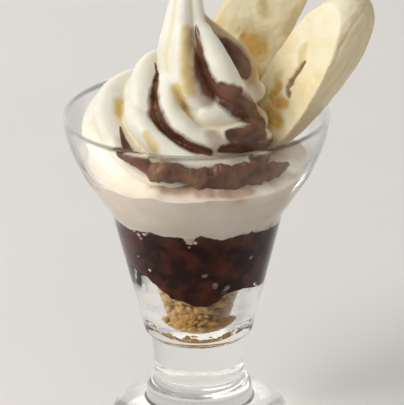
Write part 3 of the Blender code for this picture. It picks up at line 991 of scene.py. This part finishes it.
def buildBits():
    pull = random.Random(bitShape["seed"])
    pieces = []
    for i, (azimuth, height, size, tone) in enumerate(bitShape["places"]):
        bit = crumbLump("looseBit", 3, 80 + i)
        radius = cavityRadius(height) - bitShape["sunk"] * size
        setLump(bit, roundPoint(radius, math.radians(azimuth), height), size, pull)
        setTone(bit, tone)
        pieces.append(bit)
    piece = joinAll(pieces, "loose_bits")
    fixPlace(piece)
    for vert in piece.data.vertices:
        wall = (cavityRadius(vert.co.z / mm) + bitShape["flat"]) * mm
        share = min(1, wall / math.hypot(vert.co.x, vert.co.y))
        vert.co = (vert.co.x * share, vert.co.y * share, vert.co.z)
    smoothAll(piece)
    return piece


bits = buildBits()
print("loose bits set")


sauceShape = {
    "steps": 300,
    "sides": 40,
    # azimuth in degrees, radius of its middle, height of its middle, half width, half height
    "stations": (
        (221, 42.6, 126.6, 0.4, 0.4),
        (226, 42.4, 125.2, 1.6, 1.8),
        (236, 41.2, 123.7, 2.0, 3.2),
        (242, 40.4, 121.4, 2.2, 3.7),
        (246, 39.5, 119.0, 2.6, 3.7),
        (254, 38.5, 119.4, 2.9, 4.0),
        (265, 37.0, 118.5, 3.0, 3.2),
        (271, 36.5, 116.2, 3.0, 4.8),
        (278, 36.4, 116.8, 3.0, 4.8),
        (288, 36.4, 116.2, 3.0, 5.2),
        (301, 36.8, 116.1, 3.0, 4.9),
        (311, 37.4, 115.6, 2.8, 4.2),
        (320, 38.4, 115.2, 2.2, 3.2),
        (327, 39.8, 115.2, 1.4, 1.9),
        (332, 40.6, 115.2, 0.3, 0.3),
    ),
    # depth and size of its waves: in its thickness, in its outer face and up and down
    "swell": (0.22, 6.0),
    "ripple": (0.2, 3.0),
    "sway": (0.9, 3.2),
    "fromWall": 0.3,
    "wallTop": 130,
    "seed": 31,
}


def buildPool():
    s = sauceShape
    deselectAll()
    bpy.ops.mesh.primitive_grid_add(x_subdivisions=s["steps"], y_subdivisions=s["sides"], size=1)
    piece = takeNew("sauce_pool")

    def wave(kind, seed, *place):
        depth, size = s[kind]
        return depth * lump(roundPoint(*place), size, s["seed"] + seed)

    def placeOf(vert):
        azimuth, radius, height, wide, tall = smoothBetween(s["stations"], vert.co.x + 0.5)
        turn, way = math.tau * (vert.co.y + 0.5), math.radians(azimuth)
        swell = 1 + wave("swell", 0, radius, way, height + 4 * math.sin(turn))
        ripple = wave("ripple", 4, radius, way, height + tall * math.sin(turn))
        r = radius + wide * swell * math.cos(turn) + ripple
        z = height + tall * swell * math.sin(turn) + wave("sway", 9, radius, way, 0)
        return roundPoint(min(r, cavityRadius(min(z, s["wallTop"])) - s["fromWall"]), way, z) * mm

    moveVerts(piece, placeOf)
    tidyMesh(piece, 0.001 * mm)
    fillEnds(piece)
    smoothAll(piece)
    return piece


pool = buildPool()
print("sauce poured")


# shared effects
def newGroup(name, inputs, outputs):
    group = bpy.data.node_groups.new(name, "ShaderNodeTree")
    for side, sockets in (("INPUT", inputs), ("OUTPUT", outputs)):
        for title, kind in sockets.items():
            group.interface.new_socket(name=title, in_out=side, socket_type="NodeSocket" + kind)
    return group, group.nodes.new("NodeGroupInput").outputs, group.nodes.new("NodeGroupOutput").inputs


def makeMottle():
    group, given, out = newGroup(
        "mottle",
        {"Vector": "Vector", "First": "Color", "Second": "Color", "Scale": "Float", "Detail": "Float",
         "From": "Float", "To": "Float"},
        {"Color": "Color", "Mask": "Float"},
    )
    cloud = addNode(group, "TexNoise", {title: given[title] for title in ("Vector", "Scale", "Detail")})
    mask = addNode(group, "MapRange", {"Value": cloud.outputs["Fac"], "From Min": given["From"],
                                       "From Max": given["To"]})
    blend = addNode(group, "Mix", {0: mask.outputs["Result"], 6: given["First"], 7: given["Second"]},
                    data_type="RGBA")
    group.links.new(blend.outputs[2], out["Color"])
    group.links.new(mask.outputs["Result"], out["Mask"])
    return group


def makePores():
    group, given, out = newGroup(
        "pores",
        {"Vector": "Vector", "Coarse": "Float", "Fine": "Float", "Share": "Float"},
        {"Height": "Float"},
    )
    coarse = addNode(group, "TexNoise", {"Vector": given["Vector"], "Scale": given["Coarse"], "Detail": 3.0})
    fine = addNode(group, "TexVoronoi", {"Vector": given["Vector"], "Scale": given["Fine"]})
    blend = addNode(group, "Mix", {0: given["Share"], 2: coarse.outputs["Fac"], 3: fine.outputs["Distance"]})
    group.links.new(blend.outputs[0], out["Height"])
    return group


mottle, pores = makeMottle(), makePores()


def objectCoords(tree):
    return addNode(tree, "TexCoord").outputs["Object"]


def attribute(tree, name, output="Fac"):
    return addNode(tree, "Attribute", attribute_name=name).outputs[output]


def useMottle(tree, vector, first, second, scale, low=0.35, high=0.65):
    return addNode(tree, "Group", {"Vector": vector, "First": first, "Second": second, "Scale": scale,
                                   "Detail": 4.0, "From": low, "To": high}, node_tree=mottle)


def patches(tree, vector, *scaleAndRange):
    return useMottle(tree, vector, (0, 0, 0, 1), (1, 1, 1, 1), *scaleAndRange).outputs["Mask"]


def blendColours(tree, factor, first, second):
    return addNode(tree, "Mix", {0: factor, 6: first, 7: second}, data_type="RGBA").outputs[2]


def spread(tree, value, low, high, newLow=0.0, newHigh=1.0):
    return addNode(tree, "MapRange", {"Value": value, "From Min": low, "From Max": high, "To Min": newLow,
                                      "To Max": newHigh}).outputs["Result"]


# a tint laid over a colour: from and to which value, how much of it at most, and the tint
def layTint(tree, colour, value, low, high, most, tint):
    return blendColours(tree, spread(tree, value, low, high, 0.0, most), colour, tint)


def calculate(tree, operation, first, second):
    return addNode(tree, "Math", {0: first, 1: second}, operation=operation).outputs[0]


def poreBump(tree, shader, vector, coarse, fine, share, strength, distance):
    height = addNode(tree, "Group", {"Vector": vector, "Coarse": coarse, "Fine": fine, "Share": share},
                     node_tree=pores)
    bump = addNode(tree, "Bump", {"Height": height.outputs["Height"], "Strength": strength,
                                  "Distance": distance})
    tree.links.new(bump.outputs["Normal"], shader.inputs["Normal"])


def finishSurface(tree, shader, look, vector, colour, mask):
    tree.links.new(colour, shader.inputs["Base Color"])
    tree.links.new(spread(tree, mask, 0, 1, *look["rough"]), shader.inputs["Roughness"])
    poreBump(tree, shader, vector, *look["pores"])


# in each look, pores are two scales, the second's share, strength and depth, and a mottle is two colours,
# its scale and the range of the noise that is spread over them
glassLook = {
    "shader": {"Transmission Weight": 1.0, "IOR": 1.5, "Roughness": 0.0, "Metallic": 0.0,
               "Specular Tint": (0.14, 0.125, 0.115, 1), "Base Color": (0.99, 0.995, 0.99, 1)},
    "pores": (60.0, 120.0, 0.0, 0.12, 0.4 * mm),
    "edgeOn": (0.45, 0.95, 0.0, 0.75),
    "shadow": (0.97, 0.97, 0.96, 1),
}


def makeGlass():
    look = glassLook
    material, tree, shader = newMaterial("clearGlass", look["shader"])
    poreBump(tree, shader, objectCoords(tree), *look["pores"])
    # the bowl's thin wall is lighter where it is seen edge on
    facing = addNode(tree, "LayerWeight", {"Blend": 0.5}).outputs["Facing"]
    edge = calculate(tree, "MULTIPLY", spread(tree, facing, *look["edgeOn"]), attribute(tree, "bowl"))
    clear = calculate(tree, "MULTIPLY", attribute(tree, "clear"), calculate(tree, "SUBTRACT", 1.0, edge))
    tree.links.new(clear, shader.inputs["Alpha"])
    letThrough = addNode(tree, "BsdfTransparent", {"Color": look["shadow"]})
    path = addNode(tree, "LightPath")
    blend = addNode(tree, "MixShader", {0: path.outputs["Is Shadow Ray"], 1: shader.outputs[0],
                                        2: letThrough.outputs[0]})
    tree.links.new(blend.outputs[0], tree.nodes["Material Output"].inputs["Surface"])
    return material


softServeLook = {
    "shader": {"Subsurface Weight": 0.35, "Subsurface Scale": 2.5 * mm, "Subsurface Radius": (1.0, 0.8, 0.5),
               "Specular IOR Level": 0.45},
    "base": ((0.82, 0.78, 0.65, 1), (0.89, 0.865, 0.775, 1), 90.0),
    "ragged": (260.0, 0.6),  # scale and depth
    # painted shade: a yellowish tint deep in the grooves, where the lobes shade each other
    "grooveShade": (0.5, 1.0, 0.75, (0.82, 0.70, 0.44, 1)),
    # painted shade in the hollows, a yellowish tint
    "hollowShade": (0.1, 1.1, 0.85, (0.66, 0.47, 0.12, 1)),
    "stain": (0.15, 1.1, 0.7, (0.34, 0.22, 0.13, 1)),
    "sauce": ((0.21, 0.096, 0.052, 1), (0.095, 0.036, 0.019, 1), 130.0),
    "wet": (0.27, 0.72),
    "rough": (0.42, 0.25),
    "pores": (300.0, 1400.0, 0.3, 0.25, 0.25 * mm),
}


def makeSoftServe():
    look = softServeLook
    material, tree, shader = newMaterial("softServe", look["shader"])
    vector = objectCoords(tree)
    scale, depth = look["ragged"]
    ragged = calculate(tree, "SUBTRACT", patches(tree, vector, scale, 0.0, 1.0), 0.5)
    ragged = calculate(tree, "MULTIPLY", ragged, depth)
    colour = useMottle(tree, vector, *look["base"]).outputs["Color"]
    # painted shade in the grooves
    colour = layTint(tree, colour, attribute(tree, "grooveShade"), *look["grooveShade"])
    # first the painted shade in the hollows, then the stain
    for title in ("hollowShade", "stain"):
        colour = layTint(tree, colour, calculate(tree, "ADD", attribute(tree, title), ragged), *look[title])
    wet = spread(tree, calculate(tree, "ADD", attribute(tree, "sauce"), ragged), *look["wet"])
    colour = blendColours(tree, wet, colour, useMottle(tree, vector, *look["sauce"]).outputs["Color"])
    finishSurface(tree, shader, look, vector, colour, wet)
    return material


creamLook = {
    "shader": {"Subsurface Weight": 0.35, "Subsurface Scale": 2.5 * mm, "Subsurface Radius": (1.0, 0.75, 0.5),
               "Specular IOR Level": 0.4},
    "base": ((0.80, 0.69, 0.58, 1), (0.88, 0.80, 0.71, 1), 70.0),
    "smear": (0.35, 0.9, 0.8, (0.55, 0.33, 0.22, 1)),
    "ragged": (260.0, 0.6),  # scale, and how much the stain has at least
    "stain": (0.1, 0.9, 0.8, (0.42, 0.25, 0.14, 1)),
    "dull": 150.0,
    "rough": (0.35, 0.55),
    "pores": (260.0, 1200.0, 0.3, 0.25, 0.25 * mm),
}


def makeCream():
    look = creamLook
    material, tree, shader = newMaterial("cream", look["shader"])
    vector = objectCoords(tree)
    colour = useMottle(tree, vector, *look["base"]).outputs["Color"]
    colour = layTint(tree, colour, attribute(tree, "smear"), *look["smear"])
    scale, least = look["ragged"]
    ragged = calculate(tree, "ADD", patches(tree, vector, scale, 0.0, 1.0), least)
    stain = calculate(tree, "MULTIPLY", attribute(tree, "stain"), ragged)
    colour = layTint(tree, colour, stain, *look["stain"])
    finishSurface(tree, shader, look, vector, colour, patches(tree, vector, look["dull"]))
    return material


# stuff that is mottled all over, with patches of another colour or a tint where the tone is low
def makeMottled(name, look):
    material, tree, shader = newMaterial(name, look["shader"])
    vector = objectCoords(tree)
    base = useMottle(tree, vector, *look["base"])
    colour = base.outputs["Color"]
    if "patches" in look:
        colour = blendColours(tree, patches(tree, vector, *look["patches"]), colour, look["patchColour"])
    if "lowTone" in look:
        colour = layTint(tree, colour, attribute(tree, "tone"), *look["lowTone"])
    finishSurface(tree, shader, look, vector, colour, base.outputs["Mask"])
    return material


chocolateLook = {
    "shader": {"Specular IOR Level": 0.04},
    "base": ((0.020, 0.005, 0.0035, 1), (0.085, 0.021, 0.011, 1), 150.0, 0.42, 0.62),
    "patches": (60.0, 0.55, 0.75),
    "patchColour": (0.13, 0.036, 0.018, 1),
    "rough": (0.25, 0.5),
    "pores": (400.0, 1000.0, 0.25, 0.4, 0.4 * mm),
}
sauceLook = {
    "shader": {"Specular IOR Level": 0.3},
    "base": ((0.085, 0.030, 0.016, 1), (0.21, 0.098, 0.054, 1), 150.0),
    "rough": (0.25, 0.45),
    "pores": (200.0, 900.0, 0.2, 0.2, 0.3 * mm),
}
biscuitLook = {
    "shader": {"Specular IOR Level": 0.3, "Subsurface Weight": 0.08, "Subsurface Scale": 1.0 * mm},
    "base": ((0.40, 0.20, 0.05, 1), (0.62, 0.38, 0.11, 1), 420.0),
    "lowTone": (0.25, 0.0, 0.85, (0.20, 0.08, 0.02, 1)),
    "rough": (0.6, 0.85),
    "pores": (900.0, 2200.0, 0.5, 0.8, 0.4 * mm),
}
bitsLook = {
    "shader": {"Specular IOR Level": 0.1},
    "base": ((0.62, 0.40, 0.30, 1), (0.80, 0.62, 0.50, 1), 500.0),
    "lowTone": (1.0, 0.0, 1.0, (0.06, 0.025, 0.018, 1)),
    "rough": (0.5, 0.8),
    "pores": (900.0, 2200.0, 0.5, 0.5, 0.3 * mm),
}


bananaLook = {
    "shader": {"Subsurface Weight": 0.3, "Subsurface Scale": 2.0 * mm, "Subsurface Radius": (1.0, 0.7, 0.35),
               "Specular IOR Level": 0.4},
    "stretch": (1, 1, 0.12),  # of the grain, along the banana
    "side": ((0.66, 0.55, 0.35, 1), (0.77, 0.67, 0.46, 1), 420.0),
    # partly painted shade, partly sauce brown: the flanks darken towards their lower end, where they go into
    # the swirl
    "low": (0.034, 0.010, 0.7, (0.42, 0.25, 0.11, 1)),
    "face": ((0.92, 0.76, 0.45, 1), (0.97, 0.86, 0.60, 1), 110.0),
    "pale": (0.045, 0.072, 0.75, (0.93, 0.90, 0.74, 1)),
    "ragged": (500.0, 0.5),  # scale, and how much a mark has at least
    "marks": {
        "green": (0.0, 1.3, 0.75, (0.66, 0.50, 0.19, 1)),
        "amber": (0.0, 1.1, 1.0, (0.70, 0.43, 0.09, 1)),
        "seeds": (0.15, 0.95, 0.9, (0.22, 0.11, 0.04, 1)),
    },
    "rough": (0.4, 0.6),
    "pores": (500.0, 1500.0, 0.2, 0.5, 0.3 * mm),
}


def makeBanana():
    look = bananaLook
    material, tree, shader = newMaterial("banana", look["shader"])
    grain = attribute(tree, "grain", "Vector")
    height = addNode(tree, "SeparateXYZ", {"Vector": grain}).outputs["Z"]
    along = addNode(tree, "Mapping", {"Vector": grain, "Scale": look["stretch"]}).outputs["Vector"]
    side = useMottle(tree, along, *look["side"])
    # the flank's lower end gets painted shade with some sauce brown
    flank = layTint(tree, side.outputs["Color"], height, *look["low"])
    face = layTint(tree, useMottle(tree, grain, *look["face"]).outputs["Color"], height, *look["pale"])
    scale, least = look["ragged"]
    ragged = calculate(tree, "ADD", patches(tree, grain, scale, 0.0, 1.0), least)
    for title, tint in look["marks"].items():
        face = layTint(tree, face, calculate(tree, "MULTIPLY", attribute(tree, title), ragged), *tint)
    colour = blendColours(tree, attribute(tree, "cutFace"), flank, face)
    finishSurface(tree, shader, look, along, colour, side.outputs["Mask"])
    return material


finishPiece(glass, makeGlass(), "glass", "glass")
finishPiece(swirl, makeSoftServe(), "soft_serve", "soft_serve")
finishPiece(cream, makeCream(), "cream", "cream")
finishPiece(chocolate, makeMottled("chocolate", chocolateLook), "chocolate", "chocolate")
finishPiece(crumbs, makeMottled("biscuit", biscuitLook), "biscuit", "crumbs")
finishPiece(pool, makeMottled("chocolateSauce", sauceLook), "chocolate")
finishPiece(bits, makeMottled("looseBits", bitsLook), "biscuit")
bananaFlesh = makeBanana()
for name, banana in bananas.items():
    finishPiece(banana, bananaFlesh, "banana", name)
print("materials given")


stageShape = {
    "floorRadius": 25.0,
    "floorDrop": 0.2 * mm,
    "floorSides": 96,
    "floor": ((0.80, 0.785, 0.76, 1), (0.84, 0.83, 0.81, 1), 3.0),
    "floorRough": (0.7, 0.8),
    "worldLight": 0.49,
    "worldColour": (0.92, 0.90, 0.87, 1),
    "middle": (0, 0, 0.1),
    # place, size, power in watts and colour
    "lamps": {
        "windowLight": ((-1.1, -0.55, 0.95), (0.8, 0.8), 14, (1.0, 0.985, 0.96)),
        "fillLight": ((1.2, -0.9, 0.5), (0.9, 0.7), 1.3, (1.0, 0.95, 0.90)),
        "rimLight": ((-0.35, 1.2, 0.9), (0.6, 0.6), 4, (1.0, 0.98, 0.96)),
    },
}


def makeFloor():
    deselectAll()
    bpy.ops.mesh.primitive_circle_add(vertices=stageShape["floorSides"], radius=stageShape["floorRadius"],
                                      fill_type="NGON", location=(0, 0, -stageShape["floorDrop"]))
    floor = takeNew("studio_floor")
    fixPlace(floor)
    material, tree, shader = newMaterial("paperSweep", {"Specular IOR Level": 0.2})
    base = useMottle(tree, objectCoords(tree), *stageShape["floor"])
    tree.links.new(base.outputs["Color"], shader.inputs["Base Color"])
    rough = spread(tree, base.outputs["Mask"], 0, 1, *stageShape["floorRough"])
    tree.links.new(rough, shader.inputs["Roughness"])
    floor.data.materials.append(material)


def addLamp(name, place, size, power, colour):
    data = bpy.data.lights.new(name, "AREA")
    data.shape = "RECTANGLE"
    data.size, data.size_y = size
    data.energy = power
    data.color = colour
    lamp = bpy.data.objects.new(name, data)
    bpy.context.scene.collection.objects.link(lamp)
    way = Vector(stageShape["middle"]) - Vector(place)
    lamp.matrix_world = Matrix.Translation(place) @ way.to_track_quat("-Z", "Y").to_matrix().to_4x4()
    lamp.visible_camera = False


def makeWorld():
    world = bpy.data.worlds.new("studio")
    bpy.context.scene.world = world
    world.use_nodes = True
    background = world.node_tree.nodes["Background"]
    background.inputs["Color"].default_value = stageShape["worldColour"]
    background.inputs["Strength"].default_value = stageShape["worldLight"]
    bpy.context.scene.view_settings.view_transform = "Standard"


makeFloor()
makeWorld()
for name, settings in stageShape["lamps"].items():
    addLamp(name, *settings)

cameraShape = {
    "target": (0.0018, 0.0, 0.0928),
    "distance": 1.6,
    "lookDown": 20.911,
    "roll": 0.6,
    "lens": 359.7,
    "sensor": 36.0,
    "clip": (0.05, 100),
}


def makeCamera():
    c = cameraShape
    look = Vector((0, math.cos(math.radians(c["lookDown"])), -math.sin(math.radians(c["lookDown"]))))
    data = bpy.data.cameras.new("view")
    data.lens, data.sensor_width = c["lens"], c["sensor"]
    data.clip_start, data.clip_end = c["clip"]
    camera = bpy.data.objects.new("view", data)
    bpy.context.scene.collection.objects.link(camera)
    turned = Quaternion(look, math.radians(c["roll"])) @ look.to_track_quat("-Z", "Y")
    place = Vector(c["target"]) - look * c["distance"]
    camera.matrix_world = Matrix.Translation(place) @ turned.to_matrix().to_4x4()
    bpy.context.scene.camera = camera


makeCamera()
print("stage set")
